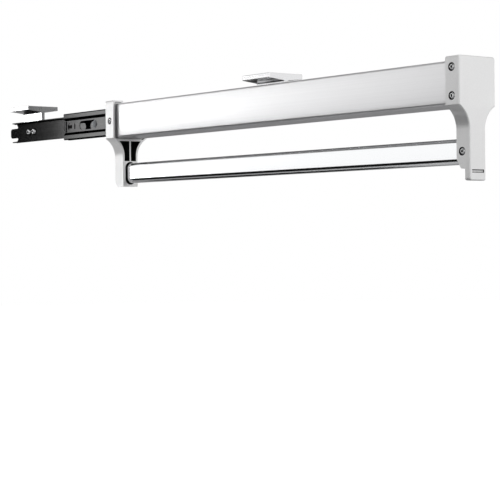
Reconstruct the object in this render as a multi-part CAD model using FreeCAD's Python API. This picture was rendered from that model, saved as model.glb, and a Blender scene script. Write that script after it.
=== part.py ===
import FreeCAD, Part
import math
import os

# Telescopic closet rod that hangs under a wardrobe shelf.
# Two T brackets screw to the shelf and carry the inner member of a ball bearing slide.
# The intermediate member and the housing run forward on it, and the housing carries an oval rod.
# X points to the front of the wardrobe, Z up, and the shelf's underside is the plane Z = 0.
# The origin lies half way between the two brackets. Lengths are in millimetres.
# The part is drawn partly open, as it is photographed.

os.makedirs("parts", exist_ok=True)
Vec = FreeCAD.Vector
ALONG = Vec(1, 0, 0)
ACROSS = Vec(0, 1, 0)
UP = Vec(0, 0, 1)

# Shelf brackets
bracket_pitch = 500.0
bracket_length = 46.5
flange_width = 44.8
flange_tip_thickness = 5.2
flange_root_thickness = 7.4
flange_root_fillet = 1.4
flange_edge_round = 0.6
web_thickness = 5.0
web_reach_below_axis = 8.5
shelf_screw_spread = 30.0
shelf_hole_diameter = 4.5

# Housing
housing_drop = 11.5
housing_width = 39.0
housing_height = 41.0
housing_wall = 1.5
housing_corner_radius = 2.6
housing_inner_radius = 1.1
housing_slot_width = 9.0
housing_visible_length = 554.5
housing_rear_x = -23.5
cap_overlap = 13.3
pad_height = 14.0
pad_depth = 1.417
guide_rib_height = 2.0
guide_rib_offset = 14.6

# Slide members
outer_sheet = 1.2
intermediate_sheet = 1.0
inner_sheet = 1.2
outer_fit = 0.15
outer_race_gap = 1.15
inner_race_gap = 2.5
outer_ball_diameter = 2.5
inner_ball_diameter = 3.0
race_clearance = 0.1
outer_groove_slope_deg = 55.0
inner_groove_slope_deg = 40.0
inner_web_shoulder = 1.5
inner_tip_flat = 2.9
ball_stagger = 3.7
intermediate_web_shoulder = 1.6
intermediate_lip = 1.3
intermediate_lip_gap = 0.2
member_web_gap = 1.3
outer_lip_setback = 0.8
outer_lip = 1.5
sheet_bend_radius = 0.9
wide_bend_radius = 1.7
plateau_height = 4.6
step_rise = 3.0
step_depth = 2.2

# Lengths and rest places of the slide members
prong_overhang = 15.0
tongue_reach = 17.0
tongue_half_height = 6.3
tongue_corner = 4.0
prong_slot_height = 3.4
prong_slot_depth = 2.0
inner_front_overhang = 4.0
intermediate_rear_x = -152.5
intermediate_length = 530.0
outer_rear_inset = 5.5
outer_front_inset = 5.5

# Windows and stops in the intermediate member
end_hole_length = 18.0
end_hole_height = 9.4
end_hole_setback = 6.5
window_length = 40.0
window_height = 11.0
window_setback = 34.0
lug_width = 4.2
lug_length = 4.6
lug_drop = 1.8
stop_dome_radius = 4.4
stop_dome_height = 3.0
stop_strap_width = 5.0
stop_strap_height = 17.0
stop_strap_thickness = 1.0
stop_place_share = 0.87
stop_flat_count = 16
stop_dome_shares = ((0, 1), (0.42, 0.86), (0.8, 0.55), (1, 0.2))
rear_bumper_reach = 1.8
rear_bumper_grip = 3.5
rear_bumper_cover = 0.8
rear_bumper_corner = 3.0

# Ball cages
cage_sheet = 0.4
cage_length = 190.0
cage_bridge_length = 9.0
cage_ball_gap = 0.2
cage_side_margin = 0.8
inner_cage_rear_x = 0.0
outer_cage_rear_x = 75.0
balls_per_row = 6
ball_flat_count = 6
ball_shares = ((0.067, 0.5), (0.3, 0.917), (0.7, 0.917), (0.933, 0.5))
ball_row_share = 0.88

# Buffers inside the slide
end_stop_length = 8.0
end_stop_half_height = 8.6
end_stop_gap = 0.4
closing_buffer_setback = 44.8
closing_buffer_length = 12.0
closing_buffer_thickness = 2.6
closing_buffer_half_height = 12.6
closing_buffer_round = 2.0

# End caps
cap_fit = 0.15
mouth_gap = 2.4
mouth_top_gap = 2.0
mouth_shelf_gap = 1.4
mouth_depth = 4.2
cap_rim = 1.8
cap_top_corner = 2.4
cap_face_bevel = 0.8
head_lap = 0.3
flare_fall = 8.4
flare_fill_share = 0.93
head_corner = 1.0
neck_width = 20.8
lip_corner = 2.2
rear_foot_corner = 8.5
foot_wall = 3.9
shelf_wall = 2.0
recess_wall = 2.3
rear_wall = 3.0
rear_end_gap = 1.0
front_wall = 3.5
front_end_gap = 0.5
recess_rib = 2.0
recess_floor_wall = 2.6
rear_slot_width = 18.6
passage_margin = 1.1

# Handle at the foot of the front cap
neck_setback = 0.4
chin_run = 5.5
chin_rise = 8.6
lip_thickness = 6.3
lip_reach = 11.1
lip_back_round = 1.6
side_round = 1.0
finger_groove_drop = 2.4
finger_groove_radius = 1.5
finger_groove_depth = 1.1
finger_groove_length = 15.6

# Hanging rod
rod_drop = 42.0
rod_height = 24.0
rod_width = 11.0
rod_wall = 1.2
rod_fit = 0.15
rod_end_gap = 1.0
socket_relief = 1.6
socket_relief_depth = 9.0

# Screws, drawn with flats so that the many of them stay light
thread_diameter = 4.0
thread_gap = 0.05
cap_screw_head = 6.4
cap_screw_head_height = 1.6
cap_screw_drive = 2.6
cap_screw_drive_depth = 1.1
cap_screw_length = 5.6
cap_screw_seat = 1.5
counterbore_diameter = 8.2
cap_screw_inset = 7.9
head_screw_upper_drop = 10.2
head_screw_spacing = 26.3
rod_screw_length = 6.4
rod_screw_seat = 1.5
rod_screw_setback = 7.0
bracket_screw_head = 8.6
bracket_screw_head_height = 2.3
bracket_screw_drive = 3.2
bracket_screw_spacing = 13.3
bracket_screw_short = 0.6
sunk_screw_head = 7.0
sunk_screw_thread = 3.6
sunk_screw_short = 0.4
sunk_screw_place_shares = (0.07, 0.36, 0.64, 0.93)
screw_flat_count = 10
drive_flat_count = 6
counterbore_flat_count = 16
crown_shares = ((0, 1), (0.55, 1), (1, 0.68))
cut_overrun = 1.0

# Levels and faces that the sizes above give
axis_z = -(housing_drop + housing_height / 2)
housing_top = -housing_drop
housing_bottom = housing_top - housing_height
housing_length = housing_visible_length + 2 * cap_overlap
housing_back = housing_rear_x - cap_overlap
housing_front_x = housing_rear_x + housing_visible_length
rear_face_x = housing_back - rear_end_gap - rear_wall
front_face_x = housing_front_x + cap_overlap + front_end_gap + front_wall
cap_half_width = housing_width / 2 + mouth_gap + cap_rim
cap_top = housing_top + mouth_top_gap + cap_rim
head_bottom = housing_bottom - head_lap
rod_z = housing_bottom - rod_drop
foot_z = rod_z - rod_height / 2 - foot_wall
lip_z = foot_z - lip_reach

# Heights of the members, measured from the slide's axis
outer_half = housing_height / 2 - housing_wall - outer_fit
outer_inside = outer_half - outer_sheet
intermediate_half = outer_inside - outer_race_gap
intermediate_inside = intermediate_half - intermediate_sheet
inner_half = intermediate_inside - inner_race_gap
outer_ball_h = outer_inside - race_clearance - outer_ball_diameter / 2
inner_ball_h = intermediate_inside - race_clearance - inner_ball_diameter / 2


def groove(level, ball_h, ball_diameter, sheet, slope_deg):
    """Vertex height, half width and bend radius of a raceway pressed into a sheet."""
    bend = ball_diameter / 2 + race_clearance + sheet / 2
    slope = math.radians(slope_deg)
    vertex = ball_h - bend / math.cos(slope)
    return vertex, (level - vertex) / math.tan(slope), bend


outer_level = outer_half - outer_sheet / 2
intermediate_level = intermediate_half - intermediate_sheet / 2
inner_level = inner_half - inner_sheet / 2
inner_groove = groove(inner_level, inner_ball_h, inner_ball_diameter, inner_sheet, inner_groove_slope_deg)
middle_groove = groove(
    intermediate_level, outer_ball_h, outer_ball_diameter, intermediate_sheet, outer_groove_slope_deg
)

# Depths of the members, measured from the brackets' webs towards the housing's near wall.
# The wall and its pad carry the outer member, so the webs' place follows from the stack of members.
inner_ball_d = inner_sheet / 2 + inner_web_shoulder + inner_groove[1]
inner_tip_d = inner_ball_d + inner_groove[1] + inner_tip_flat
outer_ball_d = inner_ball_d + ball_stagger
intermediate_tip_d = inner_ball_d - inner_ball_diameter / 2 - intermediate_lip_gap - intermediate_sheet / 2
plateau_d = outer_ball_d + middle_groove[1] + intermediate_web_shoulder
centre_web_d = plateau_d - step_depth
outer_web_d = plateau_d + intermediate_sheet / 2 + member_web_gap + outer_sheet / 2
outer_tip_d = outer_lip_setback + outer_sheet / 2
outer_back_d = outer_web_d + outer_sheet / 2
member_back_y = -housing_width / 2 + housing_wall + pad_depth + outer_back_d
web_y = member_back_y + web_thickness / 2
plateau_foot_h = intermediate_level - plateau_height - wide_bend_radius / 2
centre_edge_h = plateau_foot_h - step_rise

# Places along the slide
inner_prong_x = -bracket_pitch / 2 - bracket_length / 2 - prong_overhang
inner_rear_x = inner_prong_x - tongue_reach
inner_front_x = bracket_pitch / 2 + bracket_length / 2 + inner_front_overhang
outer_rear_x = housing_back + outer_rear_inset
outer_length = housing_length - outer_rear_inset - outer_front_inset
closing_buffer_x = outer_rear_x + outer_length - closing_buffer_setback
bracket_centres = (-bracket_pitch / 2, bracket_pitch / 2)


def spot(x, depth, height):
    """A point given by its place along the slide, depth from the brackets and height from the axis."""
    return Vec(x, member_back_y - depth, axis_z + height)


def bend_at(before, corner, after, radius):
    """Start, middle, end and centre of the arc that rounds a corner."""
    back = (before - corner).normalize()
    ahead = (after - corner).normalize()
    half_angle = back.getAngle(ahead) / 2
    reach = radius / math.tan(half_angle)
    centre = corner + (back + ahead).normalize() * (radius / math.sin(half_angle))
    middle = centre + (corner - centre).normalize() * radius
    return corner + back * reach, middle, corner + ahead * reach, centre


def outline(points, radii):
    """Closed wire through the points, each corner rounded by its radius."""
    count = len(points)
    edges = []
    joints = []
    for i in range(count):
        if radii[i] > 0:
            start, middle, end, centre = bend_at(points[i - 1], points[i], points[(i + 1) % count], radii[i])
            joints.append((start, end))
            edges.append(Part.Arc(start, middle, end).toShape())
        else:
            joints.append((points[i], points[i]))
    for i in range(count):
        leave = joints[i][1]
        arrive = joints[(i + 1) % count][0]
        edges.append(Part.makeLine(leave, arrive))
    return Part.Wire(Part.__sortEdges__(edges))


def prism(points, radii, run):
    """Solid swept from an outline along a vector."""
    return Part.Face(outline(points, radii)).extrude(run)


def box(x, y, z):
    """Box between two places on each axis."""
    low = Vec(min(x), min(y), min(z))
    return Part.makeBox(max(x) - min(x), max(y) - min(y), max(z) - min(z), low)


def sheet_member(path, bends, sheet, start_x, length):
    """Roll formed channel: a path in depth and height with its bends, mirrored about the axis."""
    half = [spot(start_x, depth, height) for depth, height in path]
    mirrored = [spot(start_x, depth, -height) for depth, height in reversed(path)]
    points = half + mirrored
    radii = list(bends) + list(reversed(bends))
    heading = [(b - a).normalize() for a, b in zip(points, points[1:])]
    normal = [ALONG.cross(direction) for direction in heading]
    sides = []
    for side in (sheet / 2, -sheet / 2):
        edges = []
        at = points[0] + normal[0] * side
        for i in range(1, len(points) - 1):
            start, middle, end, centre = bend_at(points[i - 1], points[i], points[i + 1], radii[i])
            first = start + normal[i - 1] * side
            last = end + normal[i] * side
            reach = (first - centre).Length
            edges.append(Part.makeLine(at, first))
            edges.append(Part.Arc(first, centre + (middle - centre).normalize() * reach, last).toShape())
            at = last
        finish = points[-1] + normal[-1] * side
        edges.append(Part.makeLine(at, finish))
        sides.append((edges, points[0] + normal[0] * side, finish))
    caps = [Part.makeLine(sides[0][1], sides[1][1]), Part.makeLine(sides[0][2], sides[1][2])]
    wire = Part.Wire(Part.__sortEdges__(sides[0][0] + sides[1][0] + caps))
    return Part.Face(wire).extrude(ALONG * length)


def slot_cutter(x_start, x_end, half_height, depth_from, depth_to):
    """Round ended slot along X, centred on the axis, cut through the depths given."""
    middle_start = x_start + half_height
    middle_end = x_end - half_height
    run = Vec(0, depth_from - depth_to, 0)
    body = Part.makeBox(
        middle_end - middle_start, depth_to - depth_from, 2 * half_height,
        spot(middle_start, depth_to, -half_height),
    )
    for x in (middle_start, middle_end):
        body = body.fuse(Part.makeCylinder(half_height, run.Length, spot(x, depth_from, 0), run))
    return body


def turned(centre, way, stations, flats):
    """Solid turned about a line along Y, drawn with flats: stations are distances and radii."""
    turns = [2 * math.pi * i / flats for i in range(flats + 1)]
    rings = [
        [centre + way * distance + Vec(math.cos(turn), 0, math.sin(turn)) * radius for turn in turns]
        for distance, radius in stations
    ]
    faces = [Part.Face(Part.makePolygon(ring[:-1] + ring[:1])) for ring in (rings[0], rings[-1])]
    for near, far in zip(rings, rings[1:]):
        for i in range(flats):
            corners = [near[i], near[(i + 1) % flats], far[(i + 1) % flats], far[i], near[i]]
            faces.append(Part.Face(Part.makePolygon(corners)))
    body = Part.Solid(Part.makeShell(faces))
    if body.Volume < 0:
        body.reverse()
    return body


def screw_hole(start, way, length):
    """Hole along Y that clears a screw's thread, with the same flats."""
    radius = thread_diameter / 2 + thread_gap
    return turned(start, way, [(0, radius), (length, radius)], screw_flat_count)


def pan_screw(seat, inward, head, head_height, thread, length, drive, drive_depth):
    """Button headed screw: seat is the centre under the head, inward the way the thread runs."""
    crown = [(place * head_height, size * head / 2) for place, size in crown_shares]
    screw = turned(seat, -inward, crown, screw_flat_count)
    screw = screw.fuse(turned(seat, inward, [(0, thread / 2), (length, thread / 2)], screw_flat_count))
    key = [(head_height - drive_depth, drive / 2), (head_height + cut_overrun, drive / 2)]
    return screw.cut(turned(seat, -inward, key, drive_flat_count)).removeSplitter()


def save(name, shape):
    """Write one node."""
    shape.exportStep(os.path.join("parts", name + ".step"))


def make_bracket(centre_x):
    """T section with a tapered flange, tapped for the slide's screws and drilled for the shelf."""
    start = centre_x - bracket_length / 2
    half = flange_width / 2
    web = web_thickness / 2
    web_foot = axis_z - web_reach_below_axis
    root = -flange_root_thickness
    tip = -flange_tip_thickness
    right = [(half, 0), (half, tip), (web_y + web, root), (web_y + web, web_foot)]
    left = [(web_y - web, web_foot), (web_y - web, root), (-half, tip), (-half, 0)]
    bends = [flange_edge_round, flange_edge_round, flange_root_fillet, flange_edge_round]
    points = [Vec(start, y, z) for y, z in right + left]
    bracket = prism(points, bends + bends[::-1], ALONG * bracket_length)
    for side in (-1, 1):
        hole = Vec(centre_x, side * shelf_screw_spread / 2, 0)
        bracket = bracket.cut(Part.makeCylinder(shelf_hole_diameter / 2, flange_root_thickness, hole, -UP))
    for x in bracket_screw_places(centre_x):
        start = Vec(x, member_back_y - cut_overrun, axis_z)
        bracket = bracket.cut(screw_hole(start, ACROSS, web_thickness + 2 * cut_overrun))
    return bracket


def bracket_screw_places(centre_x):
    """The two screws that hold the slide to one bracket."""
    return (centre_x - bracket_screw_spacing / 2, centre_x + bracket_screw_spacing / 2)


def make_inner_member():
    """Smallest channel, open to the near side, with a tongue and two prongs at its rear end."""
    vertex, half_width, bend = inner_groove
    path = [
        (inner_tip_d, inner_level),
        (inner_ball_d + half_width, inner_level),
        (inner_ball_d, vertex),
        (inner_ball_d - half_width, inner_level),
        (inner_sheet / 2, inner_level),
    ]
    bends = [0, sheet_bend_radius, bend, sheet_bend_radius, sheet_bend_radius]
    member = sheet_member(path, bends, inner_sheet, inner_rear_x, inner_front_x - inner_rear_x)
    for side in (-1, 1):
        slot_low = side * tongue_half_height
        slot_high = side * (tongue_half_height + prong_slot_height)
        slot = box(
            (inner_rear_x - cut_overrun, inner_prong_x + prong_slot_depth),
            (member_back_y + cut_overrun, member_back_y - inner_tip_d - cut_overrun),
            (axis_z + slot_low, axis_z + slot_high),
        )
        slot_end_x = inner_prong_x + prong_slot_depth
        ends = [edge for edge in slot.Edges
                if abs(edge.CenterOfMass.x - slot_end_x) < thread_gap
                and abs((edge.lastVertex().Point - edge.firstVertex().Point).y) > inner_tip_d]
        slot = slot.makeFillet(prong_slot_height / 2 - thread_gap, ends)
        trim = box(
            (inner_rear_x - cut_overrun, inner_prong_x),
            (member_back_y + cut_overrun, member_back_y - inner_tip_d - cut_overrun),
            (axis_z + slot_low, axis_z + side * (inner_half + cut_overrun)),
        )
        member = member.cut(slot).cut(trim)
    tongue_ends = [edge for edge in member.Edges
                   if abs(edge.CenterOfMass.x - inner_rear_x) < thread_gap
                   and abs(abs(edge.CenterOfMass.z - axis_z) - tongue_half_height) < thread_gap
                   and abs(edge.Length - inner_sheet) < thread_gap]
    member = member.makeFillet(tongue_corner, tongue_ends)
    for centre_x in bracket_centres:
        for x in bracket_screw_places(centre_x):
            start = spot(x, -cut_overrun, 0)
            member = member.cut(screw_hole(start, -ACROSS, inner_sheet + 2 * cut_overrun))
    return member


def make_bracket_screws():
    """Button headed screws through the inner member into the brackets' webs."""
    screws = []
    for centre_x in bracket_centres:
        for x in bracket_screw_places(centre_x):
            length = inner_sheet + web_thickness - bracket_screw_short
            screws.append(pan_screw(
                spot(x, inner_sheet, 0), ACROSS, bracket_screw_head, bracket_screw_head_height,
                thread_diameter, length, bracket_screw_drive, bracket_screw_head_height / 2,
            ))
    return Part.makeCompound(screws)


def make_inner_end_stop():
    """Plastic block at the front end of the inner member that keeps the inner ball cage in."""
    web_face = centre_web_d - intermediate_sheet / 2 - end_stop_gap
    low = spot(inner_front_x - end_stop_length, inner_sheet, -end_stop_half_height)
    high = spot(inner_front_x, web_face, end_stop_half_height)
    block = box((low.x, high.x), (low.y, high.y), (low.z, high.z))
    edges = [edge for edge in block.Edges if abs(edge.CenterOfMass.y - high.y) < thread_gap]
    return block.makeFillet(sheet_bend_radius, edges)


def make_intermediate_member():
    """Middle channel: lipped flanges with outer raceways, and a back whose middle is set in."""
    vertex, half_width, bend = middle_groove
    path = [
        (intermediate_tip_d, intermediate_level - intermediate_lip),
        (intermediate_tip_d, intermediate_level),
        (outer_ball_d - half_width, intermediate_level),
        (outer_ball_d, vertex),
        (outer_ball_d + half_width, intermediate_level),
        (plateau_d, intermediate_level),
        (plateau_d, plateau_foot_h),
        (centre_web_d, centre_edge_h),
    ]
    turn = sheet_bend_radius
    bends = [0, turn, turn, bend, turn, turn, turn, turn]
    member = sheet_member(path, bends, intermediate_sheet, intermediate_rear_x, intermediate_length)
    near = centre_web_d + intermediate_sheet
    far = centre_web_d - intermediate_sheet
    hole_x = intermediate_rear_x + end_hole_setback
    window_x = intermediate_rear_x + window_setback
    member = member.cut(slot_cutter(hole_x, hole_x + end_hole_length, end_hole_height / 2, far, near))
    member = member.cut(slot_cutter(window_x, window_x + window_length, window_height / 2, far, near))
    inside = centre_web_d - intermediate_sheet / 2
    lug = [
        spot(hole_x - intermediate_sheet, inside, -lug_width / 2),
        spot(hole_x + intermediate_sheet, inside, -lug_width / 2),
        spot(hole_x + lug_length, inside - lug_drop, -lug_width / 2),
        spot(hole_x + lug_length, inside - lug_drop - intermediate_sheet / 2, -lug_width / 2),
        spot(hole_x, inside - intermediate_sheet, -lug_width / 2),
        spot(hole_x - intermediate_sheet, inside - intermediate_sheet / 2, -lug_width / 2),
    ]
    return member.fuse(prism(lug, [0] * len(lug), UP * lug_width)).removeSplitter()


def make_intermediate_bumper():
    """Plastic buffer pushed over the set-in middle of the intermediate member's rear end."""
    half = centre_edge_h - rear_bumper_cover
    rear = intermediate_rear_x - rear_bumper_reach
    near = centre_web_d + intermediate_sheet / 2 + rear_bumper_cover
    far = centre_web_d - intermediate_sheet / 2 - rear_bumper_cover
    points = [
        spot(rear, far, -half),
        spot(intermediate_rear_x + rear_bumper_grip, far, -half),
        spot(intermediate_rear_x + rear_bumper_grip, far, half),
        spot(rear, far, half),
    ]
    radii = [rear_bumper_corner, 0, 0, rear_bumper_corner]
    body = prism(points, radii, Vec(0, far - near, 0))
    low = spot(intermediate_rear_x, centre_web_d - intermediate_sheet / 2, -inner_half)
    high = spot(intermediate_rear_x + intermediate_length, centre_web_d + intermediate_sheet / 2, inner_half)
    return body.cut(box((low.x, high.x), (low.y, high.y), (low.z, high.z)))


def make_intermediate_stop():
    """Domed buffer that stands in the window, on a strap behind the web."""
    window_x = intermediate_rear_x + window_setback
    x = window_x + stop_place_share * window_length
    back = centre_web_d - intermediate_sheet / 2
    strap_low = spot(x - stop_strap_width / 2, back, -stop_strap_height / 2)
    strap_high = spot(x + stop_strap_width / 2, back - stop_strap_thickness, stop_strap_height / 2)
    strap = box((strap_low.x, strap_high.x), (strap_low.y, strap_high.y), (strap_low.z, strap_high.z))
    dome = [(intermediate_sheet + place * stop_dome_height, size * stop_dome_radius)
            for place, size in stop_dome_shares]
    button = turned(spot(x, back, 0), -ACROSS, [(0, stop_dome_radius)] + dome, stop_flat_count)
    return strap.fuse(button).removeSplitter()


def make_outer_member():
    """Largest channel, drilled and dished for the screws that hold it to the housing."""
    path = [
        (outer_tip_d, outer_level - outer_lip),
        (outer_tip_d, outer_level),
        (outer_web_d, outer_level),
    ]
    bends = [0, sheet_bend_radius, wide_bend_radius]
    member = sheet_member(path, bends, outer_sheet, outer_rear_x, outer_length)
    for seat in sunk_screw_seats():
        member = member.cut(sunk_screw(seat, thread_gap))
    return member


def sunk_screw_seats():
    """Centres of the sunk heads, on the face of the outer member's web."""
    return [spot(outer_rear_x + share * outer_length, outer_web_d - outer_sheet / 2, 0)
            for share in sunk_screw_place_shares]


def sunk_screw(seat, gap):
    """Sunk head and thread, as deep as the web, the pad and the wall less a little."""
    length = outer_sheet + pad_depth + housing_wall - sunk_screw_short
    head = [(0, sunk_screw_head / 2 + gap), (outer_sheet, sunk_screw_thread / 2 + gap)]
    return turned(seat, -ACROSS, head + [(length + gap, sunk_screw_thread / 2 + gap)], screw_flat_count)


def make_outer_member_screws():
    """Sunk screws through the outer member into the housing's pad."""
    return Part.makeCompound([sunk_screw(seat, 0) for seat in sunk_screw_seats()])


def make_closing_buffer():
    """Plastic pad in the outer member that the intermediate member meets when the rod is shut."""
    depth = outer_web_d - outer_sheet / 2
    front_x = closing_buffer_x + closing_buffer_length
    half = closing_buffer_half_height
    corners = [(closing_buffer_x, -half), (front_x, -half), (front_x, half), (closing_buffer_x, half)]
    points = [spot(x, depth, height) for x, height in corners]
    return prism(points, [closing_buffer_round] * len(points), ACROSS * closing_buffer_thickness)


def make_cage(rear_x, tip_d, turn_d, turn_h, centre_path, balls, ball_radius):
    """Thin channel that carries both ball rows, cut away between its end bridges."""
    path = [(tip_d, turn_h), (turn_d, turn_h)] + centre_path
    bends = [0] + [sheet_bend_radius] * (len(path) - 1)
    cage = sheet_member(path, bends, cage_sheet, rear_x, cage_length)
    gap_start = rear_x + cage_bridge_length
    gap_end = rear_x + cage_length - cage_bridge_length
    open_half = turn_h - cage_side_margin
    deepest = max(depth for depth, height in path)
    cage = cage.cut(box(
        (gap_start, gap_end),
        (member_back_y - cut_overrun, member_back_y - deepest - cut_overrun),
        (axis_z - open_half, axis_z + open_half),
    ))
    window = ball_radius + cage_ball_gap
    for at in balls:
        cage = cage.cut(box(
            (at.x - window, at.x + window), (at.y - window, at.y + window), (at.z - window, at.z + window)
        ))
    return cage


def ball_centres(rear_x, depth, height):
    """Both rows of one cage."""
    span = cage_length * ball_row_share
    first = rear_x + (cage_length - span) / 2
    step = span / (balls_per_row - 1)
    return [spot(first + i * step, depth, side * height) for side in (-1, 1) for i in range(balls_per_row)]


def make_balls(centres, diameter):
    """Loose balls of one cage, drawn with flats and never wider than the ball."""
    stations = [(place * diameter, size * diameter / 2) for place, size in ball_shares]
    return Part.makeCompound([
        turned(centre - ACROSS * (diameter / 2), ACROSS, stations, ball_flat_count) for centre in centres
    ])


def housing_outline(start_x, end_x, inset, radius):
    """The housing's rounded outline, set in by a wall, swept between two places."""
    half = housing_width / 2 - inset
    low = housing_bottom + inset
    high = housing_top - inset
    points = [Vec(start_x, y, z) for y, z in ((-half, low), (half, low), (half, high), (-half, high))]
    return prism(points, [radius] * len(points), ALONG * (end_x - start_x))


def make_housing():
    """Square extrusion, slotted along its top, with a pad and two ribs that carry the outer member."""
    housing = housing_outline(housing_back, housing_back + housing_length, 0, housing_corner_radius)
    housing = housing.cut(housing_outline(
        housing_back, housing_back + housing_length, housing_wall, housing_inner_radius
    ))
    wall_y = -housing_width / 2 + housing_wall / 2
    seat_y = member_back_y - outer_back_d
    span = (housing_back, housing_back + housing_length)
    housing = housing.fuse(box(span, (wall_y, seat_y), (axis_z - pad_height / 2, axis_z + pad_height / 2)))
    for side in (-1, 1):
        near = axis_z + side * guide_rib_offset
        far = axis_z + side * (guide_rib_offset - guide_rib_height)
        housing = housing.fuse(box(span, (wall_y, seat_y), (near, far)))
    slot_z = (housing_top - housing_wall - cut_overrun, housing_top + cut_overrun)
    slot_x = (span[0] - cut_overrun, span[1] + cut_overrun)
    slot_y = (web_y - housing_slot_width / 2, web_y + housing_slot_width / 2)
    housing = housing.cut(box(slot_x, slot_y, slot_z))
    for seat in sunk_screw_seats():
        housing = housing.cut(sunk_screw(seat, thread_gap))
    for place, inward in cap_screw_places():
        start = Vec(place.x, -inward.y * (housing_width / 2 + cut_overrun), place.z)
        tip = abs(place.y) - cap_screw_length - thread_gap
        housing = housing.cut(screw_hole(start, inward, abs(start.y) - tip))
    return housing.removeSplitter()


def cap_screw_places():
    """Seats of the screws through the caps' sides into the housing, with the way each one runs."""
    head_x = housing_front_x + cap_screw_inset
    rear_x = housing_rear_x - cap_screw_inset
    upper = cap_top - head_screw_upper_drop
    places = []
    for side in (-1, 1):
        seat_y = side * (cap_half_width - cap_screw_seat)
        inward = Vec(0, -side, 0)
        places.append((Vec(head_x, seat_y, upper), inward))
        places.append((Vec(head_x, seat_y, upper - head_screw_spacing), inward))
        places.append((Vec(rear_x, seat_y, axis_z), inward))
    return places


def rod_screw_places():
    """Seats of the screws through the neck into the rod's front end."""
    x = housing_front_x + neck_setback + rod_screw_setback
    return [(Vec(x, side * (neck_width / 2 - rod_screw_seat), rod_z), Vec(0, -side, 0)) for side in (-1, 1)]


def cap_outline(x, inset, foot, foot_corner):
    """Head, concave flare and neck of a cap, drawn inset from its outer face by a wall."""
    half = cap_half_width
    neck = neck_width / 2
    corners = [(half, cap_top), (half, head_bottom), (neck, head_bottom - flare_fall), (neck, foot)]
    slope = math.hypot(half - neck, flare_fall)
    lift = inset * slope / (half - neck)
    fall_per_width = flare_fall / (half - neck)
    if inset > 0:
        corners = [
            (half - inset, cap_top - inset),
            (half - inset, head_bottom - inset * fall_per_width + lift),
            (neck - inset, head_bottom - flare_fall - inset * fall_per_width + lift),
            (neck - inset, foot + inset),
        ]
    run = math.hypot(corners[1][0] - corners[2][0], corners[1][1] - corners[2][1])
    turn = math.atan2(corners[1][0] - corners[2][0], corners[1][1] - corners[2][1])
    flare = flare_fill_share * (run - head_corner) / math.tan(turn / 2)
    radii = [cap_top_corner, head_corner, flare, foot_corner]
    points = [Vec(x, y, z) for y, z in corners] + [Vec(x, -y, z) for y, z in reversed(corners)]
    return points, radii + radii[::-1]


def cap_solid(start_x, end_x, inset, foot, foot_corner):
    """The cap's outline swept between two places."""
    points, radii = cap_outline(start_x, inset, foot, foot_corner)
    return prism(points, radii, ALONG * (end_x - start_x))


def oval(x, grow, run):
    """Flat sided oval round the rod's axis, swept along X."""
    half_width = rod_width / 2 + grow
    half_height = rod_height / 2 + grow
    points = [Vec(x, y, z) for y, z in (
        (-half_width, rod_z - half_height), (half_width, rod_z - half_height),
        (half_width, rod_z + half_height), (-half_width, rod_z + half_height),
    )]
    return prism(points, [half_width - thread_gap] * len(points), ALONG * run)


def cap_hollows(open_x, wall_x, neck_open_x):
    """What is cored out of a cap from its open side: pocket, two recesses and the rod's socket."""
    inward = 1 if wall_x > open_x else -1
    mouth = open_x - inward * cut_overrun
    neck_mouth = neck_open_x - inward * (cut_overrun + abs(neck_open_x - open_x))
    wide = (-cap_half_width, cap_half_width)
    relief_x = open_x + inward * mouth_depth
    relief = cap_solid(min(mouth, relief_x), max(mouth, relief_x), cap_rim, foot_z, 0)
    relief_floor = housing_bottom - mouth_shelf_gap
    hollows = relief.common(box((mouth, relief_x), wide, (relief_floor, cap_top)))
    grip = housing_corner_radius + cap_fit
    hollows = hollows.fuse(housing_outline(min(mouth, wall_x), max(mouth, wall_x), -cap_fit, grip))
    recess_top = relief_floor - shelf_wall
    recess_low = rod_z + rod_height / 2 + recess_floor_wall
    core = cap_solid(min(mouth, wall_x), max(mouth, wall_x), recess_wall, foot_z, 0)
    for side in (-1, 1):
        half = (side * recess_rib / 2, side * cap_half_width)
        hollows = hollows.fuse(core.common(box((mouth, wall_x), half, (recess_low, recess_top))))
    socket_end = wall_x
    socket_start = min(neck_mouth, socket_end)
    hollows = hollows.fuse(oval(socket_start, rod_fit, abs(socket_end - neck_mouth)))
    relief_end = neck_open_x + inward * socket_relief_depth
    relief_start = min(neck_mouth, relief_end)
    return hollows.fuse(oval(relief_start, socket_relief, abs(relief_end - neck_mouth)))


def screw_holes(cap, places, half_width):
    """Counterbored hole for each screw through a cap's sides."""
    for place, inward in places:
        outside = Vec(place.x, -inward.y * (half_width + cut_overrun), place.z)
        seat_depth = abs(place.y - outside.y)
        bore = [(0, counterbore_diameter / 2), (seat_depth, counterbore_diameter / 2)]
        cap = cap.cut(turned(outside, inward, bore, counterbore_flat_count))
        cap = cap.cut(screw_hole(outside, inward, half_width))
    return cap


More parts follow.
